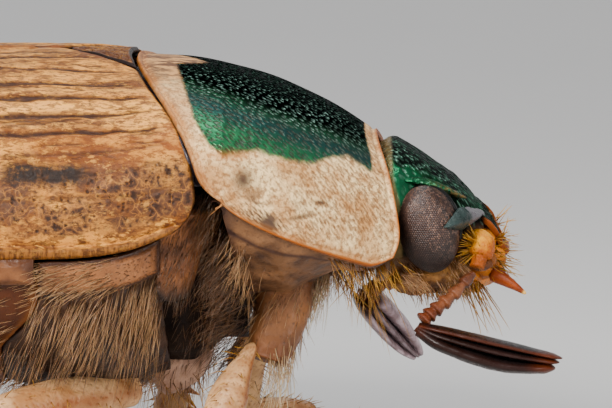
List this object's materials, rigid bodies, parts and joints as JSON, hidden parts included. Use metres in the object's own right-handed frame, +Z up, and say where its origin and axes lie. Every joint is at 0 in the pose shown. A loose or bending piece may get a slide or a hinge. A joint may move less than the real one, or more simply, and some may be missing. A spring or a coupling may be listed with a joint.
{
  "type": "leaf chafer beetle",
  "caption": "A leaf chafer beetle stands at life size, with cream striped wing cases, a green and cream shield, a dark green head and leafed feelers folded under its face.",
  "frame": {"origin": "on the floor under the middle of the bounding box", "axes": "+X forward, from the wing case tips to the head; +Y to the beetle's left; +Z up"},
  "size_m": [0.0108, 0.0079, 0.0048],
  "materials": {
    "cream_shell": "pale cream chitin with a soft shine",
    "tan_underside": "tan chitin, dull, under fine hair",
    "green_shield": "metallic green punctured chitin with cream sides",
    "green_black_head": "green-black punctured chitin",
    "brown_seam": "brown chitin between the plates",
    "brown_eye": "dark brown faceted eye",
    "amber_mouth": "amber to orange chitin",
    "brown_club": "dark purple-brown feeler leaves"
  },
  "bodies": {
    "root": {"abdomen": "tan_underside", "club_left": "brown_club", "club_right": "brown_club", "coxa_front_left": "tan_underside", "coxa_front_right": "tan_underside", "coxa_middle_left": "tan_underside", "coxa_middle_right": "tan_underside", "elytron_left": "cream_shell", "elytron_right": "cream_shell", "eye_left": "brown_eye", "eye_right": "brown_eye", "femur_front_left": "tan_underside", "femur_front_right": "tan_underside", "femur_hind_left": "tan_underside", "femur_hind_right": "tan_underside", "femur_middle_left": "tan_underside", "femur_middle_right": "tan_underside", "funicle_left": "brown_seam", "funicle_right": "brown_seam", "head": "green_black_head", "hind_coxa_left": "tan_underside", "hind_coxa_right": "tan_underside", "mesepimeron_left": "brown_seam", "mesepimeron_right": "brown_seam", "mesothorax": "brown_seam", "metathorax": "tan_underside", "metepisternum_left": "tan_underside", "metepisternum_right": "tan_underside", "mouthparts": "amber_mouth", "palp_left": "amber_mouth", "palp_right": "amber_mouth", "pronotum": "green_shield", "prothorax": "tan_underside", "pygidium": "tan_underside", "scape_left": "amber_mouth", "scape_right": "amber_mouth", "scutellum": "cream_shell", "tarsus_front_left": "tan_underside", "tarsus_front_right": "tan_underside", "tarsus_hind_left": "tan_underside", "tarsus_hind_right": "tan_underside", "tarsus_middle_left": "tan_underside", "tarsus_middle_right": "tan_underside", "tibia_front_left": "tan_underside", "tibia_front_right": "tan_underside", "tibia_hind_left": "tan_underside", "tibia_hind_right": "tan_underside", "tibia_middle_left": "tan_underside", "tibia_middle_right": "tan_underside"}
  },
  "joints": []
}
